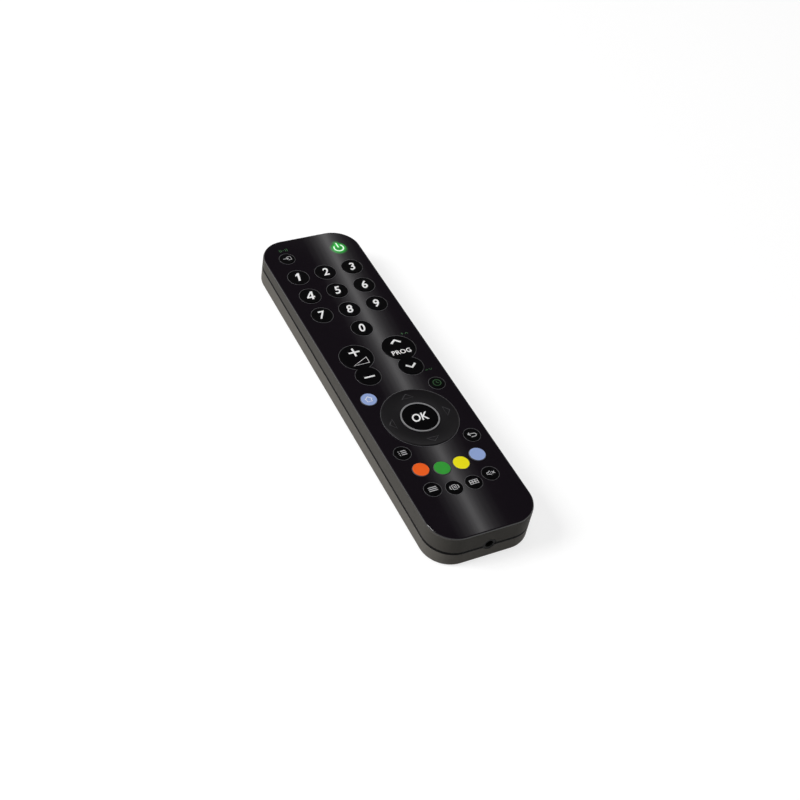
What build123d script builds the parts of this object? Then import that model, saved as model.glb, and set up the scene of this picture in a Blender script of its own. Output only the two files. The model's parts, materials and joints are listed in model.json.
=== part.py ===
from build123d import *
import os
from math import atan, cos, radians, sin, tan

os.makedirs("parts", exist_ok=True)

# A universal remote control lying on its back, in millimetres.
# The origin is the middle of the underside. +X is right, +Y points at the television, +Z is up.

# The body: a flat wedge with rounded corners, thicker at the near end.
body_width = 48.0
body_length = 190.0
corner_radius = 12.5
near_height = 17.0
far_height = 14.4
near_parting_height = 7.6
far_parting_height = 9.0
wall = 1.8
base_wall = 1.5
base_edge_radius = 1.5
groove_chamfer = 0.25
rim_chamfer = 0.2
lip_thickness = 0.8
lip_depth = 1.5
lip_gap = 0.1

# The glossy face plate and the deck of the front case that carries it.
plate_thickness = 0.8
plate_inset = 0.15
plate_edge_radius = 0.5
deck_thickness = 1.2

# Keys: each cap stands proud of the plate, and its flange runs in a well of the deck.
key_proud = 0.3
key_edge_chamfer = 0.2
key_gap = 0.15
flange_overlap = 0.2
flange_gap = 0.1
flange_thickness = 0.4
flange_sides = 8
well_gap = 0.12

# Sizes of the key caps.
digit_radius = 4.8
small_radius_share = 0.0729
colour_radius_share = 0.0760
rocker_large_radius = 7.5
rocker_small_radius = 5.5
ring_radius = 16.5
ring_bore_radius = 8.6

# The columns, as shares of the body's width.
digit_column_share = 0.28125
source_column_share = 0.2771
rocker_column_share = 0.2146
satellite_column_share = 0.3396
colour_outer_column_share = 0.2729
colour_inner_column_share = 0.0921
menu_outer_column_share = 0.2765
menu_inner_column_share = 0.09375

# The middle of the navigation ring, and the rows from there, as shares of the body's length.
ring_place_share = -0.1589
first_digit_row_share = 0.5174
digit_row_pitch_share = 0.07105
zero_row_share = 0.3058
source_row_share = 0.5900
power_row_share = 0.5947
rocker_large_row_share = 0.2189
rocker_pitch_share = 0.9346
satellite_row_share = 0.08526
colour_outer_row_share = -0.1411
colour_inner_row_share = -0.1521
menu_outer_row_share = -0.1993
menu_inner_row_share = -0.2100

# The rockers and the navigation ring tilt, so their flanges hang lower than a key's.
tilt_flange_drop = 0.6
ring_rim_width = 0.5
ring_dish = 0.35
ring_inner_rise = 0.15
cushion_inner_radius = 9.9
cushion_width = 1.8
cushion_height = 1.05
cushion_side_gap = 0.3
cushion_top_gap = 0.4

# The OK key and its bright ring.
ok_ring_radius = 8.4
ok_ring_width = 0.6
ok_ring_height = 0.6
ok_ring_gap = 0.03
ok_flange_drop = 1.4
ok_flange_overlap = 0.35
ok_flange_thickness = 0.3

# The silicone keypad under the deck.
mat_gap = 0.2
mat_thickness = 0.8
mat_side_gap = 1.9
mat_margin = 2.8
mat_corner_radius = 8.0
mat_well_floor = 0.4
pad_gap = 0.05
pad_inset = 1.1
tilt_pad_radius = 2.2
ok_pad_radius = 4.0
light_hole_radius = 1.4

# The circuit board and what is on it.
board_thickness = 1.0
board_side_gap = 1.5
board_near_gap = 1.6
board_far_gap = 3.6
board_corner_radius = 8.6
boss_hole_gap = 0.3
chip_width = 9.0
chip_length = 14.0
chip_height = 1.7
chip_lead_reach = 1.2
chip_lead_width = 0.5
chip_lead_thickness = 0.25
chip_lead_pitch = 1.27
chip_leads_each_side = 10
chip_place_share = 0.0105
resonator_width = 7.0
resonator_length = 3.2
resonator_height = 5.0
resonator_place_share = 0.1158
capacitor_radius = 3.1
capacitor_length = 7.0
capacitor_place_share = 0.2
capacitor_column = 8.0
part_seat_gap = 0.05
lamp_width = 1.6
lamp_length = 0.9
lamp_height = 0.6

# The infrared lamp behind its window in the far wall.
window_width = 15.0
window_height = 6.4
window_corner_radius = 1.8
window_centre_height = 7.9
window_gap = 0.1
window_flange_width = 0.8
window_flange_thickness = 0.8
window_flange_gap = 0.15
infrared_radius = 2.5
infrared_rim_radius = 2.9
infrared_rim_thickness = 1.0
infrared_body_length = 5.2
infrared_height = 7.2
infrared_window_gap = 0.4
lead_width = 0.5
lead_half_pitch = 1.27
lead_reach = 2.0

# The 3.5 mm jack in the near wall.
jack_height = 8.2
jack_bore_radius = 1.8
jack_bore_length = 11.0
jack_nose_radius = 2.85
jack_nose_recess = 0.2
jack_hole_gap = 0.1
jack_body_width = 8.4
jack_body_length = 12.0
jack_body_below_axis = 3.3
jack_wall_gap = 0.15

# Four screws join the two shells.
screw_side_margin = 9.5
screw_end_margin = 10.5
screw_shank_radius = 1.0
screw_length = 8.0
screw_head_radius = 1.9
screw_head_height = 1.3
screw_seat_height = 2.5
screw_recess_width = 0.45
screw_recess_span = 2.0
screw_recess_depth = 0.6
counterbore_gap = 0.3
shank_gap = 0.15
pilot_gap = 0.03
post_radius = 2.9
post_height = 7.4
boss_radius = 2.6
boss_gap = 0.1

# The battery bay: two AAA cells side by side, reached from the underside.
cell_radius = 5.25
cell_length = 44.5
cell_button_radius = 1.9
cell_button_height = 0.8
cell_edge_chamfer = 0.4
cell_spacing = 0.3
cell_lift = 0.1
bay_side_gap = 0.35
bay_jack_gap = 0.15
bay_wall = 1.6
bay_wall_top = 9.0
contact_thickness = 0.4
contact_gap = 0.05
contact_width = 8.0
contact_bottom = 3.3
contact_top = 9.6
spring_wire_radius = 0.25
spring_large_radius = 2.9
spring_cone_angle = -9.0
spring_turns = 2.5
spring_room = 5.5

# The battery door: hooks at its near end, and a sprung tongue at its far end.
door_thickness = 1.2
door_gap = 0.15
door_ledge = 1.0
door_seat_gap = 0.05
door_corner_radius = 1.5
hook_width = 3.0
hook_column = 7.5
hook_reach = 1.0
hook_lift = 0.1
hook_thickness = 0.8
hook_gap = 0.4
tongue_width = 8.0
tongue_height = 5.4
tongue_wall = 0.9
tongue_start = 0.4
tongue_span = 3.6
tongue_gap = 0.55
tongue_bump = 0.2
grip_width = 12.0
grip_depth = 0.35
grip_groove = 0.7
grip_pitch = 1.6
grip_count = 5
grip_end_margin = 5.5

# How far a cut runs past what it cuts.
overrun = 1.0

# The same radii, columns and rows in millimetres. A rocker's pitch follows its two discs.
small_radius = small_radius_share * body_width
colour_radius = colour_radius_share * body_width
colour_outer_column = colour_outer_column_share * body_width
colour_inner_column = colour_inner_column_share * body_width
menu_outer_column = menu_outer_column_share * body_width
menu_inner_column = menu_inner_column_share * body_width
digit_column = digit_column_share * body_width
source_column = source_column_share * body_width
rocker_column = rocker_column_share * body_width
satellite_column = satellite_column_share * body_width
ring_place = ring_place_share * body_length
first_digit_row = first_digit_row_share * body_length
digit_row_pitch = digit_row_pitch_share * body_length
zero_row = zero_row_share * body_length
source_row = source_row_share * body_length
power_row = power_row_share * body_length
rocker_large_row = rocker_large_row_share * body_length
rocker_pitch = rocker_pitch_share * (rocker_large_radius + rocker_small_radius)
rocker_small_row = rocker_large_row - rocker_pitch
satellite_row = satellite_row_share * body_length
colour_outer_row = colour_outer_row_share * body_length
colour_inner_row = colour_inner_row_share * body_length
menu_outer_row = menu_outer_row_share * body_length
menu_inner_row = menu_inner_row_share * body_length

# The planes of the face and of the parting line.
face_tilt = atan((near_height - far_height) / body_length)
parting_tilt = atan((far_parting_height - near_parting_height) / body_length)
middle_height = (near_height + far_height) / 2
face_normal = (0, sin(face_tilt), cos(face_tilt))
parting_normal = (0, -sin(parting_tilt), cos(parting_tilt))
face_plane = Plane(origin=(0, 0, middle_height), x_dir=(1, 0, 0), z_dir=face_normal)
parting_middle = (near_parting_height + far_parting_height) / 2
parting_plane = Plane(origin=(0, 0, parting_middle), x_dir=(1, 0, 0), z_dir=parting_normal)
face_axis = Axis((0, 0, 0), face_normal)
parting_axis = Axis((0, 0, 0), parting_normal)

# Depths below the face.
deck_underside = plate_thickness + deck_thickness
flange_top = plate_thickness + flange_gap
flange_bottom = flange_top + flange_thickness
tilt_flange_top = plate_thickness + tilt_flange_drop
tilt_flange_bottom = tilt_flange_top + flange_thickness
mat_top = deck_underside + mat_gap
mat_bottom = mat_top + mat_thickness
board_top = mat_bottom
board_bottom = board_top + board_thickness
ok_flange_top = plate_thickness + ok_flange_drop
ok_flange_bottom = ok_flange_top + ok_flange_thickness

# Every single key: its name, its place from the middle of the ring and its radius.
digit_places = {0: (0, zero_row)}
for digit in range(1, 10):
    column = (digit - 1) % 3 - 1
    row = (digit - 1) // 3
    digit_places[digit] = (column * digit_column, first_digit_row - row * digit_row_pitch)

key_places = {f"key_{digit}": (*place, digit_radius) for digit, place in digit_places.items()}
key_places |= {
    "key_source": (-source_column, source_row, small_radius),
    "key_power": (digit_column, power_row, small_radius),
    "key_home": (-satellite_column, satellite_row, colour_radius),
    "key_timer": (satellite_column, satellite_row, small_radius),
    "key_list": (-satellite_column, -satellite_row, small_radius),
    "key_return": (satellite_column, -satellite_row, small_radius),
    "key_red": (-colour_outer_column, colour_outer_row, colour_radius),
    "key_green": (-colour_inner_column, colour_inner_row, colour_radius),
    "key_yellow": (colour_inner_column, colour_inner_row, colour_radius),
    "key_blue": (colour_outer_column, colour_outer_row, colour_radius),
    "key_options": (-menu_outer_column, menu_outer_row, small_radius),
    "key_text": (-menu_inner_column, menu_inner_row, small_radius),
    "key_guide": (menu_inner_column, menu_inner_row, small_radius),
    "key_mute": (menu_outer_column, menu_outer_row, small_radius),
}
rocker_sides = {"volume_rocker": -1, "programme_rocker": 1}
screw_near_column = body_width / 2 - screw_side_margin
screw_near_row = screw_end_margin - body_length / 2
screw_far_row = ring_place + (first_digit_row + source_row) / 2
screw_places = [
    (-screw_near_column, screw_near_row),
    (screw_near_column, screw_near_row),
    (-digit_column / 2, screw_far_row),
    (digit_column / 2, screw_far_row),
]


def below(depth):
    """The plane parallel to the face at a depth under it."""
    return face_plane.offset(-depth)


def face_height(y):
    """The height of the face above the underside."""
    return middle_height - y * tan(face_tilt)


def body_prism(inset, top, bottom):
    """The body's outline, drawn in by the inset, between two planes."""
    with BuildPart() as prism:
        with BuildSketch(Plane.XY.offset(-near_height)):
            RectangleRounded(body_width - 2 * inset, body_length - 2 * inset, corner_radius - inset)
        extrude(amount=3 * near_height)
        split(bisect_by=top, keep=Keep.BOTTOM)
        split(bisect_by=bottom, keep=Keep.TOP)
    return prism.part


def finish(piece, name):
    """Label a piece and write it."""
    piece.part.label = name
    export_step(piece.part, f"parts/{name}.step")


def octagon(across_flats):
    """A keyed flange or well, with flats that stop a round cap from turning."""
    RegularPolygon(across_flats / 2, flange_sides, major_radius=False, rotation=180 / flange_sides)


def rocker_outline(side, growth):
    """Two discs that merge at a waist."""
    with Locations((side * rocker_column, ring_place + rocker_large_row)):
        Circle(rocker_large_radius + growth)
    with Locations((side * rocker_column, ring_place + rocker_small_row)):
        Circle(rocker_small_radius + growth)


def tilting_outlines(growth):
    """The outlines of both rockers, grown evenly."""
    for side in rocker_sides.values():
        rocker_outline(side, growth)


# The face plate, one glossy sheet with an opening for every key.
with BuildPart() as face_plate:
    add(body_prism(plate_inset, face_plane, below(plate_thickness)))
    fillet(face_plate.faces().sort_by(face_axis)[-1].edges(), plate_edge_radius)
    with BuildSketch(face_plane):
        for x, y, radius in key_places.values():
            with Locations((x, ring_place + y)):
                Circle(radius + key_gap)
        tilting_outlines(key_gap)
        with Locations((0, ring_place)):
            Circle(ring_radius + key_gap)
    extrude(amount=-plate_thickness, mode=Mode.SUBTRACT)
finish(face_plate, "face_plate")

# The openings in the end walls: a round one for the jack and one for the window.
near_wall_plane = Plane(
    origin=(0, -body_length / 2, jack_height), x_dir=(1, 0, 0), z_dir=(0, -1, 0)
)
far_wall_plane = Plane(
    origin=(0, body_length / 2, window_centre_height), x_dir=(-1, 0, 0), z_dir=(0, 1, 0)
)

with BuildPart() as end_openings:
    with BuildSketch(near_wall_plane):
        Circle(jack_nose_radius + jack_hole_gap)
    extrude(amount=-(wall + overrun))
    with BuildSketch(far_wall_plane):
        RectangleRounded(
            window_width + 2 * window_gap, window_height + 2 * window_gap, window_corner_radius
        )
    extrude(amount=-(wall + overrun))

# The front case: side walls, the deck with its wells, the lip and the screw bosses.
boss_bottom = post_height + boss_gap

with BuildPart() as front_case:
    add(body_prism(0, below(plate_thickness), parting_plane))
    chamfer(front_case.faces().sort_by(face_axis)[-1].edges(), rim_chamfer)
    chamfer(front_case.faces().sort_by(parting_axis)[0].edges(), groove_chamfer)
    add(body_prism(wall - lip_thickness, parting_plane.offset(wall), parting_plane.offset(-lip_depth)))
    add(
        body_prism(wall, below(deck_underside), parting_plane.offset(-near_height)),
        mode=Mode.SUBTRACT,
    )
    for x, y in screw_places:
        with BuildSketch(Plane.XY.offset(boss_bottom)):
            with Locations((x, y)):
                Circle(boss_radius)
        extrude(amount=face_height(y) - plate_thickness - deck_thickness / 2 - boss_bottom)
    with BuildSketch(Plane.XY.offset(boss_bottom)):
        with Locations(*screw_places):
            Circle(screw_shank_radius + pilot_gap)
    extrude(amount=screw_seat_height + screw_length - boss_bottom + overrun / 2, mode=Mode.SUBTRACT)
    with BuildSketch(below(plate_thickness)):
        for x, y, radius in key_places.values():
            with Locations((x, ring_place + y)):
                octagon(2 * (radius + key_gap + flange_overlap + well_gap))
        tilting_outlines(key_gap + flange_overlap + well_gap)
        with Locations((0, ring_place)):
            octagon(2 * (ring_radius + key_gap + flange_overlap + well_gap))
    extrude(amount=-(deck_thickness + overrun), mode=Mode.SUBTRACT)
    add(end_openings.part, mode=Mode.SUBTRACT)
finish(front_case, "front_case")

# The rear case: a tray with the battery bay, the door's opening and the screw posts.
bay_width = 4 * cell_radius + cell_spacing + 2 * bay_side_gap
bay_length = cell_length + spring_room + 2 * (contact_thickness + contact_gap)
jack_body_face = wall + jack_wall_gap
bay_near = jack_body_face + jack_body_length + bay_jack_gap + bay_wall - body_length / 2
bay_far = bay_near + bay_length
bay_centre = (bay_near + bay_far) / 2
door_opening_width = bay_width + 2 * door_ledge
door_opening_length = bay_length + 2 * door_ledge
door_near = bay_near - door_ledge + door_gap
door_far = bay_far + door_ledge - door_gap
tongue_near = bay_far + bay_wall + tongue_start
tongue_far = tongue_near + tongue_span
hook_bottom = base_wall + hook_lift
hook_top = hook_bottom + hook_thickness

with BuildPart() as rear_case:
    add(body_prism(0, parting_plane, Plane.XY))
    fillet(rear_case.faces().sort_by(Axis.Z)[0].edges(), base_edge_radius)
    chamfer(rear_case.faces().sort_by(parting_axis)[-1].edges(), groove_chamfer)
    add(body_prism(wall, parting_plane.offset(overrun), Plane.XY.offset(base_wall)), mode=Mode.SUBTRACT)
    add(
        body_prism(
            wall - lip_thickness - lip_gap,
            parting_plane.offset(overrun),
            parting_plane.offset(-lip_depth - lip_gap),
        ),
        mode=Mode.SUBTRACT,
    )
    # The walls of the battery bay.
    with BuildSketch(Plane.XY.offset(base_wall / 2)):
        with Locations((0, bay_centre)):
            Rectangle(bay_width + 2 * bay_wall, bay_length + 2 * bay_wall)
            Rectangle(bay_width, bay_length, mode=Mode.SUBTRACT)
    extrude(amount=bay_wall_top - base_wall / 2)
    # The door's seat, and the opening inside it.
    with BuildSketch(Plane.XY):
        with Locations((0, bay_centre)):
            RectangleRounded(door_opening_width, door_opening_length, door_corner_radius + door_gap)
    extrude(amount=door_thickness + door_seat_gap, mode=Mode.SUBTRACT)
    with BuildSketch(Plane.XY):
        with Locations((0, bay_centre)):
            Rectangle(bay_width, bay_length)
    extrude(amount=base_wall + overrun, mode=Mode.SUBTRACT)
    # The notches that the door's hooks swing through.
    hook_notch_width = hook_width + 2 * hook_gap
    with BuildSketch(Plane.XY.offset(base_wall)):
        with Locations((-hook_column, bay_near - bay_wall / 2), (hook_column, bay_near - bay_wall / 2)):
            Rectangle(hook_notch_width, bay_wall + hook_gap)
    extrude(amount=hook_top + hook_gap - base_wall, mode=Mode.SUBTRACT)
    with BuildSketch(Plane.XY):
        with Locations((-hook_column, bay_near), (hook_column, bay_near)):
            Rectangle(hook_notch_width, 2 * door_ledge)
    extrude(amount=base_wall + overrun, mode=Mode.SUBTRACT)
    # The notch for the door's sprung tongue.
    tongue_notch_near = bay_far + door_ledge / 2
    tongue_notch_far = tongue_far + tongue_gap
    with BuildSketch(Plane.XY):
        with Locations((0, (tongue_notch_near + tongue_notch_far) / 2)):
            Rectangle(tongue_width + 2 * hook_gap, tongue_notch_far - tongue_notch_near)
    extrude(amount=door_thickness + door_seat_gap, mode=Mode.SUBTRACT)
    tongue_hole_near = bay_far + bay_wall
    with BuildSketch(Plane.XY):
        with Locations((0, (tongue_hole_near + tongue_notch_far) / 2)):
            Rectangle(tongue_width + 2 * hook_gap, tongue_notch_far - tongue_hole_near)
    extrude(amount=base_wall + overrun, mode=Mode.SUBTRACT)
    # The posts and their screw holes, counterbored from the underside.
    with BuildSketch(Plane.XY.offset(base_wall / 2)):
        with Locations(*screw_places):
            Circle(post_radius)
    extrude(amount=post_height - base_wall / 2)
    with BuildSketch(Plane.XY):
        with Locations(*screw_places):
            Circle(screw_shank_radius + shank_gap)
    extrude(amount=post_height + overrun, mode=Mode.SUBTRACT)
    with BuildSketch(Plane.XY):
        with Locations(*screw_places):
            Circle(screw_head_radius + counterbore_gap)
    extrude(amount=screw_seat_height, mode=Mode.SUBTRACT)
    add(end_openings.part, mode=Mode.SUBTRACT)
finish(rear_case, "rear_case")

# The battery door.
hook_side_plane = Plane.YZ.offset(-hook_width / 2)
tongue_side_plane = Plane.YZ.offset(-tongue_width / 2)

with BuildPart() as battery_door:
    with BuildSketch(Plane.XY):
        with Locations((0, (door_near + door_far) / 2)):
            RectangleRounded(
                door_opening_width - 2 * door_gap, door_far - door_near, door_corner_radius
            )
    extrude(amount=door_thickness)
    # Two hooks that reach in over the base.
    for side in (-1, 1):
        with BuildSketch(hook_side_plane.offset(side * hook_column)):
            with BuildLine():
                Polyline(
                    (door_near + door_ledge + hook_reach, door_thickness / 2),
                    (door_near + door_ledge + hook_reach, hook_bottom),
                    (door_near + door_ledge, hook_top),
                    (door_near - hook_reach, hook_top),
                    (door_near - hook_reach, hook_bottom),
                    (door_near + door_gap, hook_bottom),
                    (door_near + door_gap, door_thickness / 2),
                    close=True,
                )
            make_face()
        extrude(amount=hook_width)
    # The sprung tongue: under the bay's wall, up, over and down to a finger pad.
    with BuildSketch(tongue_side_plane):
        with BuildLine():
            Polyline(
                (bay_far, 0),
                (tongue_near + tongue_wall, 0),
                (tongue_near + tongue_wall, tongue_height - tongue_wall),
                (tongue_far - tongue_wall, tongue_height - tongue_wall),
                (tongue_far - tongue_wall, 0),
                (tongue_far, 0),
                (tongue_far, base_wall),
                (tongue_far + tongue_bump, base_wall + tongue_bump),
                (tongue_far, base_wall + 2 * tongue_bump),
                (tongue_far, tongue_height),
                (tongue_near, tongue_height),
                (tongue_near, door_thickness),
                (bay_far, door_thickness),
                close=True,
            )
        make_face()
    extrude(amount=tongue_width)
    # Grip grooves across the outside.
    grip_place = door_far - grip_end_margin - (grip_count - 1) * grip_pitch / 2
    with BuildSketch(Plane.XY):
        with Locations((0, grip_place)):
            with GridLocations(grip_pitch, grip_pitch, 1, grip_count):
                SlotOverall(grip_width, grip_groove)
    extrude(amount=grip_depth, mode=Mode.SUBTRACT)
finish(battery_door, "battery_door")


def round_key(name, x, y, radius):
    """A round cap with an eight-sided flange under the plate."""
    with BuildPart() as key:
        with BuildSketch(below(-key_proud)):
            with Locations((x, ring_place + y)):
                Circle(radius)
        extrude(amount=-(key_proud + flange_top))
        chamfer(key.faces().sort_by(face_axis)[-1].edges(), key_edge_chamfer)
        with BuildSketch(below(flange_top)):
            with Locations((x, ring_place + y)):
                octagon(2 * (radius + key_gap + flange_overlap))
        extrude(amount=-flange_thickness)
    finish(key, name)


for name, (x, y, radius) in key_places.items():
    round_key(name, x, y, radius)

# The two rockers, each one piece with two discs.
for name, side in rocker_sides.items():
    with BuildPart() as rocker:
        with BuildSketch(below(-key_proud)):
            rocker_outline(side, 0)
        extrude(amount=-(key_proud + tilt_flange_top))
        chamfer(rocker.faces().sort_by(face_axis)[-1].edges(), key_edge_chamfer)
        with BuildSketch(below(tilt_flange_top)):
            rocker_outline(side, key_gap + flange_overlap)
        extrude(amount=-flange_thickness)
    finish(rocker, name)

# The pieces round the middle of the navigation ring are turned about this axis.
ring_centre = face_plane.from_local_coords((0, ring_place, 0))
ring_axis = Axis(ring_centre, face_normal)
turning_plane = Plane(
    origin=ring_centre, x_dir=(1, 0, 0), z_dir=(0, -cos(face_tilt), sin(face_tilt))
)
cushion_outer_radius = cushion_inner_radius + cushion_width
cushion_bottom = mat_top - pad_gap
cushion_top = cushion_bottom - cushion_height
groove_top = cushion_top - cushion_top_gap
ring_middle_radius = (ring_bore_radius + ring_radius) / 2

with BuildPart() as navigation_ring:
    with BuildSketch(turning_plane):
        with BuildLine():
            inner_top = (ring_bore_radius, ring_inner_rise)
            rim_top = (ring_radius - ring_rim_width, key_proud)
            ThreePointArc(inner_top, (ring_middle_radius, key_proud - ring_dish), rim_top)
            Polyline(
                rim_top,
                (ring_radius - key_edge_chamfer, key_proud),
                (ring_radius, key_proud - key_edge_chamfer),
                (ring_radius, -tilt_flange_bottom),
                (cushion_outer_radius + cushion_side_gap, -tilt_flange_bottom),
                (cushion_outer_radius + cushion_side_gap, -groove_top),
                (cushion_inner_radius - cushion_side_gap, -groove_top),
                (cushion_inner_radius - cushion_side_gap, -tilt_flange_bottom),
                (ring_bore_radius, -tilt_flange_bottom),
                inner_top,
            )
        make_face()
    revolve(axis=ring_axis)
    with BuildSketch(below(tilt_flange_top)):
        with Locations((0, ring_place)):
            octagon(2 * (ring_radius + key_gap + flange_overlap))
            Circle(ring_radius - key_gap, mode=Mode.SUBTRACT)
    extrude(amount=-flange_thickness)
finish(navigation_ring, "navigation_ring")

# The soft ring that the navigation ring rocks on.
with BuildPart() as navigation_cushion:
    with BuildSketch(below(cushion_top)):
        with Locations((0, ring_place)):
            Circle(cushion_outer_radius)
            Circle(cushion_inner_radius, mode=Mode.SUBTRACT)
    extrude(amount=-cushion_height)
finish(navigation_cushion, "navigation_cushion")

# The OK key, with a step round its cap for the bright ring.
ok_cap_radius = ok_ring_radius - ok_ring_width - ok_ring_gap

with BuildPart() as key_ok:
    with BuildSketch(below(-key_proud)):
        with Locations((0, ring_place)):
            Circle(ok_cap_radius)
    extrude(amount=-ok_ring_height)
    chamfer(key_ok.faces().sort_by(face_axis)[-1].edges(), key_edge_chamfer)
    with BuildSketch(below(ok_ring_height - key_proud)):
        with Locations((0, ring_place)):
            Circle(ok_ring_radius)
    extrude(amount=-(ok_flange_top + key_proud - ok_ring_height))
    with BuildSketch(below(ok_flange_top)):
        with Locations((0, ring_place)):
            octagon(2 * (ring_bore_radius + ok_flange_overlap))
    extrude(amount=-ok_flange_thickness)
finish(key_ok, "key_ok")

with BuildPart() as ok_ring:
    with BuildSketch(below(-key_proud)):
        with Locations((0, ring_place)):
            Circle(ok_ring_radius)
            Circle(ok_ring_radius - ok_ring_width, mode=Mode.SUBTRACT)
    extrude(amount=-ok_ring_height)
finish(ok_ring, "ok_ring")

# The keypad mat: a web with a raised pad under every key.
mat_near_end = ring_place + menu_inner_row - small_radius - mat_margin
mat_far_end = ring_place + power_row + small_radius + mat_margin
mat_length = mat_far_end - mat_near_end
mat_middle = (mat_near_end + mat_far_end) / 2
mat_width = body_width - 2 * (wall + mat_side_gap)
single_pad_top = flange_bottom + pad_gap
tilt_pad_top = tilt_flange_bottom + pad_gap
ok_pad_top = ok_flange_bottom + pad_gap
mat_well_radius = (ring_bore_radius + ok_flange_overlap) / cos(radians(180 / flange_sides)) + key_gap
ring_pad_place = (cushion_outer_radius + cushion_side_gap + ring_radius) / 2

with BuildPart() as keypad_mat:
    with BuildSketch(below(mat_top)):
        with Locations((0, mat_middle)):
            RectangleRounded(mat_width, mat_length, mat_corner_radius)
    extrude(amount=-mat_thickness)
    with BuildSketch(below(mat_top)):
        with Locations((0, ring_place)):
            Circle(mat_well_radius)
        with Locations(*screw_places[2:]):
            Circle(boss_radius + boss_hole_gap)
    extrude(amount=-(mat_thickness - mat_well_floor), mode=Mode.SUBTRACT)
    with BuildSketch(below(mat_top)):
        with Locations(*screw_places[2:]):
            Circle(boss_radius + boss_hole_gap)
    extrude(amount=-mat_thickness, mode=Mode.SUBTRACT)
    with BuildSketch(below(single_pad_top)):
        for x, y, radius in key_places.values():
            with Locations((x, ring_place + y)):
                Circle(radius - pad_inset)
    extrude(amount=single_pad_top - mat_top - mat_thickness / 2)
    with BuildSketch(below(tilt_pad_top)):
        for side in rocker_sides.values():
            with Locations((side * rocker_column, ring_place + rocker_large_row)):
                Circle(tilt_pad_radius)
            with Locations((side * rocker_column, ring_place + rocker_small_row)):
                Circle(tilt_pad_radius)
        with Locations((0, ring_place)):
            with PolarLocations(ring_pad_place, 4):
                Circle(tilt_pad_radius / 2)
    extrude(amount=tilt_pad_top - mat_top - mat_thickness / 2)
    with BuildSketch(below(ok_pad_top)):
        with Locations((0, ring_place)):
            Circle(ok_pad_radius)
    extrude(amount=ok_pad_top - mat_bottom + mat_well_floor / 2)
    with BuildSketch(below(single_pad_top)):
        with Locations((digit_column, ring_place + power_row)):
            Circle(light_hole_radius)
    extrude(amount=single_pad_top - mat_bottom, mode=Mode.SUBTRACT)
finish(keypad_mat, "keypad_mat")

# The circuit board, holed for the screw bosses.
board_near_end = wall + board_near_gap - body_length / 2
board_far_end = body_length / 2 - wall - board_far_gap
board_length = board_far_end - board_near_end
board_middle = (board_near_end + board_far_end) / 2
board_width = body_width - 2 * (wall + board_side_gap)

with BuildPart() as circuit_board:
    with BuildSketch(below(board_top)):
        with Locations((0, board_middle)):
            RectangleRounded(board_width, board_length, board_corner_radius)
        with Locations(*screw_places):
            Circle(boss_radius + boss_hole_gap, mode=Mode.SUBTRACT)
    extrude(amount=-board_thickness)
finish(circuit_board, "circuit_board")

# Components under the board hang from this plane.
component_plane = below(board_bottom + part_seat_gap)
chip_place = chip_place_share * body_length
resonator_place = resonator_place_share * body_length
capacitor_place = capacitor_place_share * body_length

with BuildPart() as controller_chip:
    with BuildSketch(component_plane.offset(-chip_lead_thickness)):
        with Locations((0, chip_place)):
            Rectangle(chip_width, chip_length)
    extrude(amount=-chip_height)
    with BuildSketch(component_plane):
        with Locations((0, chip_place)):
            with GridLocations(chip_width, chip_lead_pitch, 2, chip_leads_each_side):
                Rectangle(2 * chip_lead_reach, chip_lead_width)
    extrude(amount=-2 * chip_lead_thickness)
finish(controller_chip, "controller_chip")

with BuildPart() as resonator:
    with BuildSketch(component_plane):
        with Locations((0, resonator_place)):
            SlotOverall(resonator_width, resonator_length)
    extrude(amount=-resonator_height)
finish(resonator, "resonator")

capacitor_axis_plane = Plane(
    origin=face_plane.from_local_coords(
        (capacitor_column, capacitor_place, -(board_bottom + part_seat_gap + capacitor_radius))
    ),
    x_dir=(1, 0, 0),
    z_dir=(0, cos(face_tilt), -sin(face_tilt)),
)
with BuildPart() as capacitor:
    with BuildSketch(capacitor_axis_plane):
        Circle(capacitor_radius)
    extrude(amount=capacitor_length)
finish(capacitor, "capacitor")

# The lamp that shines through the power key's symbol.
with BuildPart() as power_lamp:
    with BuildSketch(below(board_top)):
        with Locations((digit_column, ring_place + power_row)):
            Rectangle(lamp_width, lamp_length)
    extrude(amount=lamp_height)
finish(power_lamp, "power_lamp")

# The infrared lamp, a domed cylinder with two legs bent up to the board.
window_inner_face = body_length / 2 - wall - window_flange_gap - window_flange_thickness
infrared_tip = window_inner_face - infrared_window_gap
infrared_back = infrared_tip - infrared_radius - infrared_body_length - infrared_rim_thickness
infrared_axis = Axis((0, infrared_back, infrared_height), (0, 1, 0))
leg_top = face_height(infrared_back) - board_bottom - part_seat_gap
leg_back = infrared_back - lead_reach

with BuildPart() as infrared_lamp:
    with BuildSketch(Plane.XY.offset(infrared_height)):
        with BuildLine():
            body_end = infrared_tip - infrared_radius
            rim_end = infrared_back + infrared_rim_thickness
            Polyline(
                (0, infrared_tip),
                (0, infrared_back),
                (infrared_rim_radius, infrared_back),
                (infrared_rim_radius, rim_end),
                (infrared_radius, rim_end),
                (infrared_radius, body_end),
            )
            RadiusArc((infrared_radius, body_end), (0, infrared_tip), -infrared_radius)
        make_face()
    revolve(axis=infrared_axis)
    for side in (-1, 1):
        with BuildSketch(Plane.YZ.offset(side * lead_half_pitch - lead_width / 2)):
            with BuildLine():
                Polyline(
                    (infrared_back + infrared_rim_thickness / 2, infrared_height - lead_width / 2),
                    (leg_back, infrared_height - lead_width / 2),
                    (leg_back, leg_top),
                    (leg_back + lead_width, leg_top),
                    (leg_back + lead_width, infrared_height + lead_width / 2),
                    (infrared_back + infrared_rim_thickness / 2, infrared_height + lead_width / 2),
                    close=True,
                )
            make_face()
        extrude(amount=lead_width)
finish(infrared_lamp, "infrared_lamp")

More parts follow.
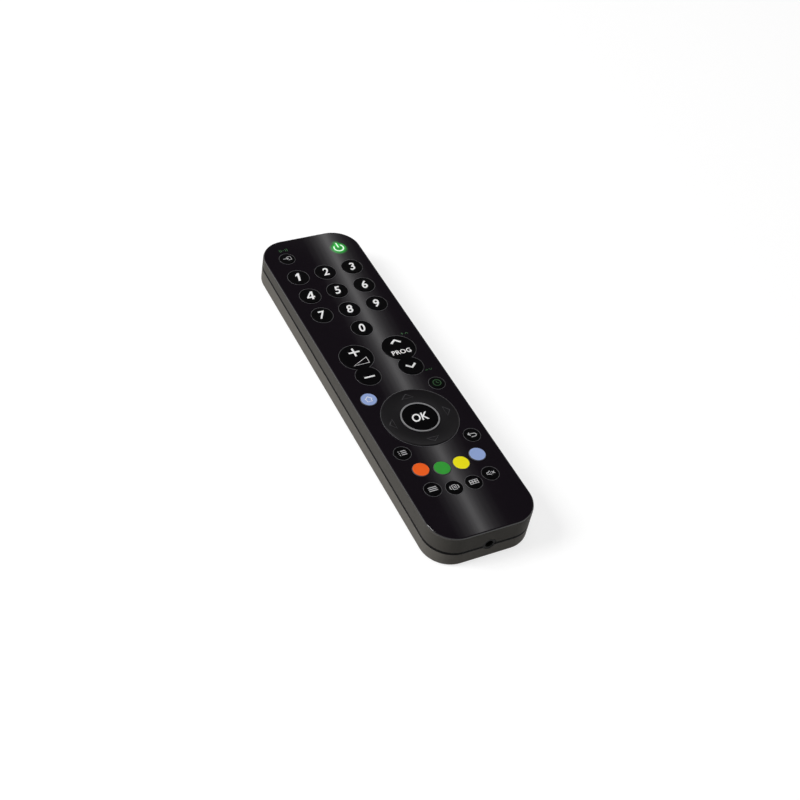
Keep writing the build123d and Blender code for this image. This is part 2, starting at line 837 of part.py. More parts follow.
# The dark window, flush with the far wall and flanged behind it.
with BuildPart() as infrared_window:
    with BuildSketch(far_wall_plane):
        RectangleRounded(window_width, window_height, window_corner_radius)
    extrude(amount=-(wall + window_flange_gap))
    with BuildSketch(far_wall_plane.offset(-(wall + window_flange_gap))):
        RectangleRounded(
            window_width + 2 * window_flange_width,
            window_height + 2 * window_flange_width,
            window_corner_radius + window_flange_width,
        )
    extrude(amount=-window_flange_thickness)
finish(infrared_window, "infrared_window")

# The jack: a block under the board with a round nose in the near wall.
with BuildPart() as jack_socket:
    with BuildSketch(near_wall_plane.offset(-jack_body_face)):
        with Locations((0, near_height / 2 - jack_body_below_axis)):
            Rectangle(jack_body_width, near_height)
    extrude(amount=-jack_body_length)
    split(bisect_by=component_plane, keep=Keep.BOTTOM)
    with BuildSketch(near_wall_plane.offset(-jack_nose_recess)):
        Circle(jack_nose_radius)
    extrude(amount=-(jack_body_face + jack_body_length / 2))
    with BuildSketch(near_wall_plane.offset(-jack_nose_recess)):
        Circle(jack_bore_radius)
    extrude(amount=-jack_bore_length, mode=Mode.SUBTRACT)
finish(jack_socket, "jack_socket")

# The four case screws, with a cross recess in each head.
with BuildPart() as case_screws:
    with BuildSketch(Plane.XY.offset(screw_seat_height - screw_head_height)):
        with Locations(*screw_places):
            Circle(screw_head_radius)
    extrude(amount=screw_head_height)
    with BuildSketch(Plane.XY.offset(screw_seat_height)):
        with Locations(*screw_places):
            Circle(screw_shank_radius)
    extrude(amount=screw_length)
    with BuildSketch(Plane.XY.offset(screw_seat_height - screw_head_height)):
        with Locations(*screw_places):
            Rectangle(screw_recess_span, screw_recess_width)
            Rectangle(screw_recess_width, screw_recess_span)
    extrude(amount=screw_recess_depth, mode=Mode.SUBTRACT)
finish(case_screws, "case_screws")

# The two cells, head to tail.
cell_centre_height = door_thickness + cell_lift + cell_radius
cell_column = cell_radius + cell_spacing / 2
cell_stop = contact_thickness + 2 * contact_gap

for name, side in {"battery_left": -1, "battery_right": 1}.items():
    # The left cell's button points to the far end, the right one's to the near end.
    button_face = bay_far - cell_stop if side < 0 else bay_near + cell_stop
    cell_plane = Plane(
        origin=(side * cell_column, button_face, cell_centre_height),
        x_dir=(1, 0, 0),
        z_dir=(0, side, 0),
    )
    with BuildPart() as cell:
        with BuildSketch(cell_plane):
            Circle(cell_button_radius)
        extrude(amount=cell_button_height)
        with BuildSketch(cell_plane.offset(cell_button_height)):
            Circle(cell_radius)
        extrude(amount=cell_length - cell_button_height)
        chamfer(cell.edges().filter_by(GeomType.CIRCLE).sort_by(SortBy.RADIUS)[-2:], cell_edge_chamfer)
    finish(cell, name)

# Contacts: one bridge plate at the near end and two plates at the far end.
contact_height = contact_top - contact_bottom
contact_middle = (contact_top + contact_bottom) / 2
near_contact_plane = Plane(
    origin=(0, bay_near + contact_gap, contact_middle), x_dir=(-1, 0, 0), z_dir=(0, 1, 0)
)
far_contact_plane = Plane(
    origin=(0, bay_far - contact_gap, contact_middle), x_dir=(1, 0, 0), z_dir=(0, -1, 0)
)
with BuildPart() as battery_contacts:
    with BuildSketch(near_contact_plane):
        Rectangle(2 * cell_column + contact_width, contact_height)
    extrude(amount=contact_thickness)
    with BuildSketch(far_contact_plane):
        with Locations((-cell_column, 0), (cell_column, 0)):
            Rectangle(contact_width, contact_height)
    extrude(amount=contact_thickness)
finish(battery_contacts, "battery_contacts")

# A conical coil spring presses on the flat end of each cell.
spring_length = bay_length - cell_length - 2 * cell_stop - 2 * contact_gap
spring_pitch = (spring_length - 2 * spring_wire_radius) / spring_turns

with BuildPart() as battery_springs:
    for side in (-1, 1):
        spring_base = bay_near + cell_stop if side < 0 else bay_far - cell_stop
        spring_start = spring_base - side * spring_wire_radius
        with BuildLine():
            coil = Helix(
                pitch=spring_pitch,
                height=spring_pitch * spring_turns,
                radius=spring_large_radius,
                center=(side * cell_column, spring_start, cell_centre_height),
                direction=(0, -side, 0),
                cone_angle=spring_cone_angle,
            )
        with BuildSketch(Plane(origin=coil @ 0, z_dir=coil % 0)):
            RegularPolygon(spring_wire_radius, 6)
        sweep(path=coil, is_frenet=True)
finish(battery_springs, "battery_springs")
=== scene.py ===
import json
from math import atan, atan2, cos, degrees, pi, radians, sin, sqrt

import bpy
from mathutils import Matrix, Vector
from mathutils.bvhtree import BVHTree

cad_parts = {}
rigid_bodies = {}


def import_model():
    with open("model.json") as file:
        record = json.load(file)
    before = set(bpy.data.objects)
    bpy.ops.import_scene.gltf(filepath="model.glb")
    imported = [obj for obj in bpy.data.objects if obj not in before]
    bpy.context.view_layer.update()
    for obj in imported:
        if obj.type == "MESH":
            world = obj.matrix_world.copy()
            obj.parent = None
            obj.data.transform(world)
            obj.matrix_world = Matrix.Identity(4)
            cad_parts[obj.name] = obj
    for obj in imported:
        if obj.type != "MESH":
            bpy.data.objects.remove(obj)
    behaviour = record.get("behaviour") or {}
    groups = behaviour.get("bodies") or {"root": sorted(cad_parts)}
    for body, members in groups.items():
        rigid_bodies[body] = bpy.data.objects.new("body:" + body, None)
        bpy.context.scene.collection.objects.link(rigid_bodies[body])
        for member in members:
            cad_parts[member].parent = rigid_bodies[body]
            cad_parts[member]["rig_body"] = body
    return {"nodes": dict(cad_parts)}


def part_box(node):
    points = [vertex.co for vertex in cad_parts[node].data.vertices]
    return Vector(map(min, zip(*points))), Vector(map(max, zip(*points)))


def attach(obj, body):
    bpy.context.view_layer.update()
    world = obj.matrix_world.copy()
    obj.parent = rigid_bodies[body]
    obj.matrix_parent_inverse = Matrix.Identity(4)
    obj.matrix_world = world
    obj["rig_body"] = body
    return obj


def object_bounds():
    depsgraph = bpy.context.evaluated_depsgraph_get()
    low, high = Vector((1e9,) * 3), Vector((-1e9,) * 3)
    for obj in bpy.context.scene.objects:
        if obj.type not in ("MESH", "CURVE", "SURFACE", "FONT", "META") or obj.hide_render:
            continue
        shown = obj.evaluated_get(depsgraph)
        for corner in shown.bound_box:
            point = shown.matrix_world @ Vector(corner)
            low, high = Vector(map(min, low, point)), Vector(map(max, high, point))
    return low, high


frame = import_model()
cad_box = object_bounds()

MM = 0.001
NODES = frame["nodes"]

# The key face leans down by FACE_DROP over the body's length, in millimetres, towards the far end. Places on it
# are given in millimetres from the navigation ring. FACE_MIDDLE is its height at the origin, in metres.
BODY_LENGTH = 190
FACE_DROP = 2.6
FACE_TILT = atan(FACE_DROP / BODY_LENGTH)
FACE_MIDDLE = 0.0157

# Printed ink and painted glint lines, 0.02 mm thick. CAPITAL_SHARE is a capital's share of the letters' nominal
# size.
INK_AND_GLINT_THICKNESS = 0.02 * MM
CAPITAL_SHARE = 0.73
SLANT = 0.2

# The parting line's middle height, its slope and how far its painted shade reaches each way, in metres.
PARTING = (0.0083, 1.4 / BODY_LENGTH, 0.0007)

# The coloured disc of a cap inside its grey rim, a painted glint of the cap's edge, in metres.
COLOUR_RADIUS = 3.42 * MM

# The power symbol's ring and bar, and how far its light reaches from them and from its middle, in millimetres.
POWER_RING = 2.25
POWER_BAR_TOP = 3.6
POWER_BAR_BOTTOM = 0.35
GLOW_REACH = 2.5
GLOW_LIMIT = 6.8
GLOW_FADE = 1.9
GLOW_GREEN = (0.02, 0.62, 0.06)


# ---------------------------------------------------------------- finishes


class Wire:
    """A value that runs from one shader node to another."""

    def __init__(self, finish, socket):
        self.finish = finish
        self.socket = socket

    def maths(self, operation, first, second=0.0):
        return self.finish.node("ShaderNodeMath", {"operation": operation}, {0: first, 1: second})

    def __add__(self, other):
        return self.maths("ADD", self, other)

    def __radd__(self, other):
        return self.maths("ADD", other, self)

    def __sub__(self, other):
        return self.maths("SUBTRACT", self, other)

    def __rsub__(self, other):
        return self.maths("SUBTRACT", other, self)

    def __mul__(self, other):
        return self.maths("MULTIPLY", self, other)

    def __rmul__(self, other):
        return self.maths("MULTIPLY", other, self)

    def __truediv__(self, other):
        return self.maths("DIVIDE", self, other)

    def __rtruediv__(self, other):
        return self.maths("DIVIDE", other, self)

    def __pow__(self, other):
        return self.maths("POWER", self, other)

    def __rpow__(self, other):
        return self.maths("POWER", other, self)

    def __abs__(self):
        return self.maths("ABSOLUTE", self)

    def least(self, other):
        return self.maths("MINIMUM", self, other)

    def most(self, other):
        return self.maths("MAXIMUM", self, other)

    def over(self, other):
        return self.maths("GREATER_THAN", self, other)

    def wrapped(self, period):
        """What is left of the value after whole periods."""
        return self.maths("MODULO", self, period)


class Shading:
    """A tree of shader nodes."""

    def __init__(self, tree):
        self.tree = tree

    def node(self, kind, settings=None, values=None, output=0):
        made = self.tree.nodes.new(kind)
        for name, setting in (settings or {}).items():
            setattr(made, name, setting)
        for socket, value in (values or {}).items():
            if isinstance(value, Wire):
                self.tree.links.new(value.socket, made.inputs[socket])
            else:
                made.inputs[socket].default_value = value
        return Wire(self, made.outputs[output])

    def seen_rays(self):
        """1 for rays from the camera, from a reflection or through something clear, and 0 for the rest."""
        kinds = [
            self.node("ShaderNodeLightPath", output=kind)
            for kind in ("Is Camera Ray", "Is Glossy Ray", "Is Transmission Ray")
        ]
        return kinds[0].most(kinds[1]).most(kinds[2])


class Finish(Shading):
    """One procedural material: a Principled shader and the nodes that feed it."""

    def __init__(self, name, roughness, metallic=0.0, **constants):
        self.material = bpy.data.materials.new(name)
        self.material.use_nodes = True
        super().__init__(self.material.node_tree)
        self.shader = self.tree.nodes["Principled BSDF"]
        self.shader.inputs["Roughness"].default_value = roughness
        self.shader.inputs["Metallic"].default_value = metallic
        for socket, value in constants.items():
            self.shader.inputs[socket.replace("_", " ")].default_value = value
        self.where = self.node("ShaderNodeTexCoord", output="Object")

    def noise(self, per_millimetre, detail=2.0, stretch=(1, 1, 1)):
        """Cloudy noise from 0 to 1, with that many blotches in a millimetre."""
        place = self.node("ShaderNodeMapping", None, {"Vector": self.where, "Scale": stretch})
        values = {"Vector": place, "Scale": per_millimetre * 1000, "Detail": detail}
        return self.node("ShaderNodeTexNoise", None, values)

    def along(self, axis):
        """The place along X, Y or Z, in metres."""
        return self.node("ShaderNodeSeparateXYZ", None, {0: self.where}, output=axis)

    def between(self, share, first, second):
        """A colour part of the way from the first to the second."""
        values = {0: share, 6: as_colour(first), 7: as_colour(second)}
        return self.node("ShaderNodeMix", {"data_type": "RGBA"}, values, output=2)

    def feed(self, socket, wire):
        self.tree.links.new(wire.socket, self.shader.inputs[socket])

    def bump(self, height, depth, strength=1.0):
        """Bump from a height of 0 to 1 that stands for a depth in metres."""
        self.feed("Normal", self.node(
            "ShaderNodeBump", None, {"Height": height, "Distance": depth, "Strength": strength}, output="Normal"
        ))


def as_colour(colour):
    """A colour as the Mix node takes it, or the wire that carries one."""
    return colour if isinstance(colour, Wire) else (*colour, 1)


def glossy_acrylic():
    """The face plate: black acrylic, polished, with the faint haze that fingers leave."""
    finish = Finish("glossy_acrylic", 0.03, IOR=1.49)
    haze = finish.noise(0.05, 4.0) * 0.6 + finish.noise(0.4, 3.0) * 0.4
    finish.feed("Roughness", haze * 0.03 + 0.018)
    finish.feed("Base Color", finish.between(haze, (0.0066, 0.0050, 0.0070), (0.0090, 0.0070, 0.0096)))
    power_light(finish, (0.0, 0.0, 0.0), GLOW_GREEN, GLOW_REACH)
    return finish.material


def moulded_case(name, dark, light, roughness, joint):
    """The two shells and the battery door: grey-brown plastic with a fine spark-eroded grain, and painted shade
    along the parting line.
    """
    finish = Finish(name, roughness, IOR=1.45, Specular_IOR_Level=0.1)
    grain = finish.noise(4.0, 3.0)
    cloud = finish.noise(0.06, 3.0)
    colour = finish.between(cloud * 0.65 + grain * 0.35, dark, light)
    # Painted shade: within that reach of the parting line the colour is near-black, so the groove and a little of
    # the wall round it show as a black line.
    height, slope, reach = joint
    from_joint = abs(finish.along("Z") - finish.along("Y") * slope - height)
    colour = finish.between(1 - from_joint.over(reach), colour, (0.0012, 0.0012, 0.0012))
    finish.feed("Base Color", colour)
    finish.feed("Roughness", grain * 0.16 + (roughness - 0.08))
    finish.bump(grain, 0.00002, 0.55)
    return finish.material


def satin_key(name, dark, light, roughness=0.42, shine=0.1, rim_of=None):
    """A key cap: satin plastic with a very fine grain, and, where it names its key, a grey rim round the coloured
    disc: a painted glint of the cap's rounded edge.
    """
    finish = Finish(name, roughness, IOR=1.45, Specular_IOR_Level=shine)
    grain = finish.noise(7.0, 2.0)
    cloud = finish.noise(0.25, 2.0)
    colour = finish.between(cloud * 0.7 + grain * 0.3, dark, light)
    if rim_of:
        # Painted glint: grey beyond the coloured disc's radius, for light on the cap's rounded edge.
        x, y = finish.along("X") - middle(rim_of)[0], finish.along("Y") - middle(rim_of)[1]
        colour = finish.between(((x * x + y * y) ** 0.5).over(COLOUR_RADIUS), colour, (0.07, 0.07, 0.073))
    finish.feed("Base Color", colour)
    finish.feed("Roughness", grain * 0.1 + (roughness - 0.05))
    finish.bump(grain, 0.000008, 0.4)
    return finish.material


def screen_ink(name, colour, roughness=0.55):
    """Screen-printed ink, a little thin in places; it also makes the grey painted glint lines and the painted
    highlight of the arrows.
    """
    finish = Finish(name, roughness)
    thin = finish.noise(3.0, 3.0)
    darker = tuple(part * 0.86 for part in colour)
    finish.feed("Base Color", finish.between(thin, darker, colour))
    finish.feed("Roughness", thin * 0.15 + (roughness - 0.07))
    return finish.material


def satin_silver():
    """The ring round the OK key: silver with fine turning marks."""
    finish = Finish("satin_silver", 0.45, 0.6)
    marks = finish.noise(2.5, 4.0)
    finish.feed("Base Color", finish.between(marks, (0.36, 0.36, 0.37), (0.46, 0.46, 0.47)))
    finish.feed("Roughness", marks * 0.2 + 0.35)
    return finish.material


def silicone():
    """Keypad rubber: dull and slightly mottled."""
    finish = Finish("silicone", 0.75)
    mottle = finish.noise(0.8, 3.0)
    finish.feed("Base Color", finish.between(mottle, (0.028, 0.028, 0.03), (0.045, 0.045, 0.048)))
    finish.feed("Roughness", mottle * 0.2 + 0.62)
    finish.bump(mottle, 0.00003, 0.4)
    return finish.material


def solder_mask():
    """The circuit board: green lacquer over copper tracks."""
    finish = Finish("solder_mask", 0.35)
    x, y = finish.along("X"), finish.along("Y")
    lengthwise = (abs(x) * 1000).wrapped(1.27).over(0.85)
    across = (abs(y) * 1000).wrapped(5.08).over(4.7)
    broken = finish.noise(0.12, 1.0).over(0.5)
    tracks = (lengthwise * broken).most(across * (1 - broken))
    lacquer = finish.between(finish.noise(1.2, 2.0), (0.010, 0.085, 0.035), (0.016, 0.11, 0.045))
    finish.feed("Base Color", finish.between(tracks * 0.7, lacquer, (0.03, 0.2, 0.07)))
    finish.feed("Roughness", tracks * -0.08 + 0.38)
    finish.bump(tracks, 0.00003, 0.6)
    return finish.material


def moulded_component(name, dark, light, shine):
    """Chip and socket bodies: black epoxy or nylon with a matt grain."""
    finish = Finish(name, 0.6, Specular_IOR_Level=shine)
    grain = finish.noise(5.0, 3.0)
    finish.feed("Base Color", finish.between(grain, dark, light))
    finish.feed("Roughness", grain * 0.2 + 0.5)
    finish.bump(grain, 0.00002, 0.5)
    return finish.material


def tinned_steel():
    """Springs, contacts, screws and cans: tin plate with drawn streaks."""
    finish = Finish("tinned_steel", 0.32, 1.0)
    streaks = finish.noise(1.0, 3.0, (6, 1, 6))
    finish.feed("Base Color", finish.between(streaks, (0.5, 0.49, 0.47), (0.68, 0.67, 0.64)))
    finish.feed("Roughness", streaks * 0.22 + 0.2)
    return finish.material


def infrared_filter():
    """The window in the far wall: so dark a red that it looks black."""
    finish = Finish("infrared_filter", 0.08, IOR=1.5)
    haze = finish.noise(0.15, 3.0)
    finish.feed("Base Color", finish.between(haze, (0.012, 0.0015, 0.003), (0.018, 0.002, 0.004)))
    finish.feed("Roughness", haze * 0.06 + 0.05)
    return finish.material


def lamp_epoxy():
    """Lamp bodies: clear epoxy, a little milky."""
    finish = Finish("lamp_epoxy", 0.12, IOR=1.5)
    milk = finish.noise(0.6, 2.0)
    finish.feed("Base Color", finish.between(milk, (0.55, 0.6, 0.7), (0.7, 0.75, 0.85)))
    finish.feed("Roughness", milk * 0.08 + 0.08)
    return finish.material


def cell_jacket(name, button_end, crimped_end):
    """A battery's printed jacket: dark, with a copper-coloured band at the button and bare steel ends."""
    finish = Finish(name, 0.3, 0.4)
    length = crimped_end - button_end
    share = (finish.along("Y") - button_end) / length
    grain = finish.noise(1.5, 3.0)
    band = (0.32 - share).over(0)
    steel = (0.045 - share).over(0).most(share.over(0.985))
    body = finish.between(band, (0.012, 0.013, 0.016), (0.45, 0.2, 0.07))
    finish.feed("Base Color", finish.between(steel, body, (0.6, 0.59, 0.57)))
    finish.feed("Metallic", steel * 0.5 + 0.45)
    finish.feed("Roughness", grain * 0.12 + 0.24)
    return finish.material


def shrink_sleeve(node):
    """The capacitor: a dark blue sleeve with a pale stripe."""
    finish = Finish("shrink_sleeve", 0.4)
    stripe = (finish.along("X") - (middle(node)[0] + 0.0018)).over(0)
    grain = finish.noise(1.5, 2.0)
    finish.feed("Base Color", finish.between(stripe, (0.012, 0.02, 0.055), (0.4, 0.42, 0.45)))
    finish.feed("Roughness", grain * 0.12 + 0.32)
    return finish.material


def power_light(finish, core, glow, reach):
    """The lamp's light through the power key and the plate: brightest on the symbol, fading out round it."""
    x = (finish.along("X") - POWER_X) * 1000
    y = (finish.along("Y") - POWER_Y) * 1000
    from_middle = (x * x + y * y) ** 0.5
    above = (y - POWER_BAR_TOP).most(0)
    below = (POWER_BAR_BOTTOM - y).most(0)
    from_bar = (x * x + above * above + below * below) ** 0.5
    distance = abs(from_middle - POWER_RING).least(from_bar)
    light = (1 - distance / reach).most(0) ** GLOW_FADE * (1 - (from_middle / GLOW_LIMIT) ** 4).most(0)
    finish.feed("Emission Color", finish.between(light, core, glow))
    finish.shader.inputs["Emission Strength"].default_value = 1.0


def lit_key(name, core, glow, reach):
    """The power key's cap or its symbol, with the lamp behind it."""
    finish = Finish(name, 0.5)
    finish.feed("Base Color", finish.between(finish.noise(0.4), (0.004, 0.006, 0.004), (0.006, 0.008, 0.006)))
    power_light(finish, core, glow, reach)
    return finish.material


# ---------------------------------------------------------------- shaping


def tree_with(name, inputs):
    """A Geometry Nodes tree with a Geometry input, the named inputs and a Geometry output."""
    tree = bpy.data.node_groups.new(name, "GeometryNodeTree")
    tree.interface.new_socket("Geometry", in_out="INPUT", socket_type="NodeSocketGeometry")
    for label, kind in inputs.items():
        tree.interface.new_socket(label, in_out="INPUT", socket_type=kind)
    tree.interface.new_socket("Geometry", in_out="OUTPUT", socket_type="NodeSocketGeometry")
    return tree, tree.nodes.new("NodeGroupInput"), tree.nodes.new("NodeGroupOutput")


def add_node(tree, kind, settings=None, **links):
    """A node of a Geometry Nodes tree. A link's name is the socket's, with _ for a space."""
    node = tree.nodes.new(kind)
    for name, setting in (settings or {}).items():
        setattr(node, name, setting)
    for name, value in links.items():
        socket = node.inputs[name.replace("_", " ")]
        if isinstance(value, bpy.types.NodeSocket):
            tree.links.new(value, socket)
        else:
            socket.default_value = value
    return node


def end_tree(tree, given, out, geometry):
    """Ends a tree in Realize Instances and Set Material."""
    real = add_node(tree, "GeometryNodeRealizeInstances", Geometry=geometry)
    given_material = add_node(tree, "GeometryNodeSetMaterial", Geometry=real.outputs[0], Material=given.outputs["Ink_and_glint"])
    tree.links.new(given_material.outputs[0], out.inputs[0])
    return tree


STROKE_INPUTS = {"Width": "NodeSocketFloat", "Thickness": "NodeSocketFloat", "Ink_and_glint": "NodeSocketMaterial"}


def flat_stroke(tree, given, curve):
    """Sweeps a flat rectangle along a curve that lies in the XY plane."""
    level = add_node(tree, "GeometryNodeSetCurveNormal", {"mode": "Z_UP"}, Curve=curve)
    profile = add_node(
        tree, "GeometryNodeCurvePrimitiveQuadrilateral",
        Width=given.outputs["Width"], Height=given.outputs["Thickness"],
    )
    return add_node(
        tree, "GeometryNodeCurveToMesh",
        Curve=level.outputs[0], Profile_Curve=profile.outputs[0], Fill_Caps=True,
    ).outputs[0]


def stroke_tree():
    """Printed strokes, and the painted glint and highlight lines: every line as a flat layer of one width."""
    tree, given, out = tree_with("printed_strokes", STROKE_INPUTS)
    return end_tree(tree, given, out, flat_stroke(tree, given, given.outputs["Geometry"]))


def key_outline_tree():
    """Painted glint circles: one round every point, with the radius that the point carries."""
    tree, given, out = tree_with("key_outlines", STROKE_INPUTS)
    circle = add_node(tree, "GeometryNodeCurvePrimitiveCircle", Resolution=72, Radius=1.0)
    radius = add_node(tree, "GeometryNodeInputNamedAttribute", {"data_type": "FLOAT"}, Name="hole_radius")
    rings = add_node(
        tree, "GeometryNodeInstanceOnPoints",
        Points=given.outputs["Geometry"], Instance=circle.outputs[0], Scale=radius.outputs["Attribute"],
    )
    loops = add_node(tree, "GeometryNodeRealizeInstances", Geometry=rings.outputs[0])
    even = add_node(tree, "GeometryNodeSetCurveRadius", Curve=loops.outputs[0], Radius=1.0)
    return end_tree(tree, given, out, flat_stroke(tree, given, even.outputs[0]))


def grown(name, source, tree, inputs):
    """The mesh that a Geometry Nodes tree makes of a source object, which is then removed."""
    modifier = source.modifiers.new("grow", "NODES")
    modifier.node_group = tree
    sockets = {item.name: item.identifier for item in tree.interface.items_tree if item.in_out == "INPUT"}
    for label, value in inputs.items():
        modifier[sockets[label]] = value
    bpy.context.view_layer.update()
    evaluated = source.evaluated_get(bpy.context.evaluated_depsgraph_get())
    mesh = bpy.data.meshes.new_from_object(evaluated)
    mesh.name = name
    source.modifiers.remove(modifier)
    data = source.data
    bpy.data.objects.remove(source)
    (bpy.data.curves if isinstance(data, bpy.types.Curve) else bpy.data.meshes).remove(data)
    return mesh


def linked(name, data):
    piece = bpy.data.objects.new(name, data)
    bpy.context.scene.collection.objects.link(piece)
    return piece


def strokes(name, lines, width, ink, closed=False):
    """A mesh of flat lines (print, painted glint and painted highlight), from lists of points in metres in the XY
    plane.
    """
    curve = bpy.data.curves.new(name, "CURVE")
    curve.dimensions = "3D"
    for points in lines:
        spline = curve.splines.new("POLY")
        spline.points.add(len(points) - 1)
        for place, (x, y) in zip(spline.points, points):
            place.co = (x * MM, y * MM, 0, 1)
        spline.use_cyclic_u = closed
    inputs = {"Width": width * MM, "Thickness": INK_AND_GLINT_THICKNESS, "Ink_and_glint": ink}
    return grown(name, linked(name, curve), PRINT_AND_GLINT_STROKES, inputs)


def cut_shape(name, outlines, ink):
    """A mesh of a filled outline, with its points in millimetres. Outlines inside the first are holes."""
    curve = bpy.data.curves.new(name, "CURVE")
    curve.dimensions = "2D"
    curve.fill_mode = "BOTH"
    curve.extrude = INK_AND_GLINT_THICKNESS / 2
    for outline in outlines:
        spline = curve.splines.new("POLY")
        spline.points.add(len(outline) - 1)
        for place, (x, y) in zip(spline.points, outline):
            place.co = (x * MM, y * MM, 0, 1)
        spline.use_cyclic_u = True
    return settled(name, curve, ink)


def settled(name, curve, ink):
    """The mesh of a flat curve or of text, with its middle at the origin."""
    source = linked(name, curve)
    bpy.context.view_layer.update()
    mesh = bpy.data.meshes.new_from_object(source.evaluated_get(bpy.context.evaluated_depsgraph_get()))
    mesh.name = name
    bpy.data.objects.remove(source)
    bpy.data.curves.remove(curve)
    xs = [vertex.co.x for vertex in mesh.vertices]
    ys = [vertex.co.y for vertex in mesh.vertices]
    mesh.transform(Matrix.Translation((-(min(xs) + max(xs)) / 2, -(min(ys) + max(ys)) / 2, 0)))
    mesh.materials.clear()
    mesh.materials.append(ink)
    return mesh


def lettering(name, words, height, weight, ink, slant=0.0, spacing=1.0, narrow=1.0):
    """A mesh of words, their middle at the origin, with capitals of that height in millimetres."""
    curve = bpy.data.curves.new(name, "FONT")
    curve.body = words
    curve.align_x = "CENTER"
    curve.align_y = "CENTER"
    curve.size = height / CAPITAL_SHARE * MM
    curve.offset = weight * MM
    curve.extrude = INK_AND_GLINT_THICKNESS / 2
    curve.resolution_u = 6
    curve.shear = slant
    curve.space_character = spacing
    mesh = settled(name, curve, ink)
    mesh.transform(Matrix.Diagonal((narrow, 1, 1, 1)))
    return mesh


def face_matrix(x, y, height):
    """From a drawing in the XY plane to a row-frame place on the leaning face."""
    return Matrix.Translation((x, y, height)) @ Matrix.Rotation(-FACE_TILT, 4, "X")


def laid_on(mesh, node, x, y):
    """Puts a flat drawing on a node's top, where it follows any dish in it, and rides it on the node's body."""
    surface = surfaces[node]
    search_above, search_depth = 0.005, 0.012
    normal = Vector((0, sin(FACE_TILT), cos(FACE_TILT)))
    lean = face_matrix(x, y, FACE_MIDDLE - y * sin(FACE_TILT) / cos(FACE_TILT))
    for vertex in mesh.vertices:
        flat = lean @ Vector((vertex.co.x, vertex.co.y, 0))
        hit = surface.ray_cast(flat + normal * search_above, -normal, search_depth)[0]
        top = hit if hit else flat
        vertex.co = top + normal * (vertex.co.z + INK_AND_GLINT_THICKNESS * 0.5)
    piece = linked(mesh.name, mesh)
    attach(piece, NODES[node]["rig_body"])
    return piece


def arc(centre, radius, start, end, steps=24):
    """Points of an arc, with its angles in degrees."""
    angles = [radians(start + (end - start) * step / steps) for step in range(steps + 1)]
    return [(centre[0] + radius * cos(a), centre[1] + radius * sin(a)) for a in angles]


def round_loop(radius, steps):
    """Points of a circle round the origin, without its first point again at the end."""
    return arc((0, 0), radius, 0, 360 - 360 / steps, steps - 1)


def rectangle(width, height):
    """The corners of a rectangle round the origin."""
    x, y = width / 2, height / 2
    return [(-x, -y), (x, -y), (x, y), (-x, y)]


# ---------------------------------------------------------------- places on the face

# The outlines of the 1 and the 4, in millimetres. The other digits are set as letters.
ONE = [[
    (0.62, -2.6), (-0.5, -2.6), (-0.5, 1.15), (-1.45, 0.62), (-1.45, 1.7), (-0.2, 2.6), (0.62, 2.6),
]]
FOUR = [
    [
        (0.25, -2.6), (1.25, -2.6), (1.25, -1.5), (1.95, -1.5), (1.95, -0.65), (1.25, -0.65), (1.25, 2.6),
        (0.1, 2.6), (-2.05, -0.7), (-2.05, -1.5), (0.25, -1.5),
    ],
    [(0.25, -0.65), (-1.05, -0.65), (0.25, 1.4)],
]
OWN_DIGITS = {1: ONE, 4: FOUR}

# The surfaces that print and painted glint lines are laid on.
surfaces = {}
for node_name in list(NODES):
    if node_name.startswith(("key_", "volume", "programme", "navigation_ring", "face_plate")):
        shown = NODES[node_name].data
        corners = [vertex.co.copy() for vertex in shown.vertices]
        surfaces[node_name] = BVHTree.FromPolygons(corners, [tuple(face.vertices) for face in shown.polygons])


def middle(node):
    """The middle of a node's box, seen from above, in metres."""
    low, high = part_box(node)
    return (low[0] + high[0]) / 2, (low[1] + high[1]) / 2


RING_X, RING_Y = middle("ok_ring")
POWER_X, POWER_Y = (place - shift * MM for place, shift in zip(middle("key_power"), (0.35, 0.45)))
PRINT_AND_GLINT_STROKES = stroke_tree()
KEY_OUTLINES = key_outline_tree()

white_ink = screen_ink("white_ink", (0.86, 0.86, 0.86))
edge_glint_grey = screen_ink("edge_glint_grey", (0.095, 0.095, 0.10))
icon_ink = screen_ink("icon_ink", (0.6, 0.6, 0.61))
arrow_edge_highlight = screen_ink("arrow_edge_highlight", (0.05, 0.05, 0.055))
green_ink = screen_ink("green_ink", (0.012, 0.085, 0.016))


# ---------------------------------------------------------------- legends

DIGIT_HEIGHT = 4.95
OWN_DIGIT_WIDTH = 0.95

for digit in range(10):
    node_name = f"key_{digit}"
    if digit in OWN_DIGITS:
        outlines = [[(x * OWN_DIGIT_WIDTH + y * SLANT, y) for x, y in outline] for outline in OWN_DIGITS[digit]]
        mesh = cut_shape(f"legend_{digit}", outlines, white_ink)
    else:
        # A slanted and thickened 9 doesn't fill, so it is a 6 turned round.
        drawn = 6 if digit == 9 else digit
        mesh = lettering(f"legend_{digit}", str(drawn), DIGIT_HEIGHT, 0.12, white_ink, slant=SLANT, narrow=0.9)
        if drawn != digit:
            mesh.transform(Matrix.Rotation(pi, 4, "Z"))
    laid_on(mesh, node_name, *middle(node_name))

laid_on(lettering("legend_ok", "OK", 4.4, 0.10, white_ink, slant=SLANT, narrow=0.84), "key_ok", *middle("key_ok"))


def at_ring(x, y):
    """A row-frame place from millimetres measured from the middle of the ring."""
    return RING_X + x * MM, RING_Y + y * MM * cos(FACE_TILT)


def print_marks(rows, ink):
    """Prints strokes: name, lines, width, whether they close, the node, and the place from the ring's middle."""
    for name, lines, width, closed, node, place in rows:
        laid_on(strokes(name, lines, width, ink, closed), node, *at_ring(*place))


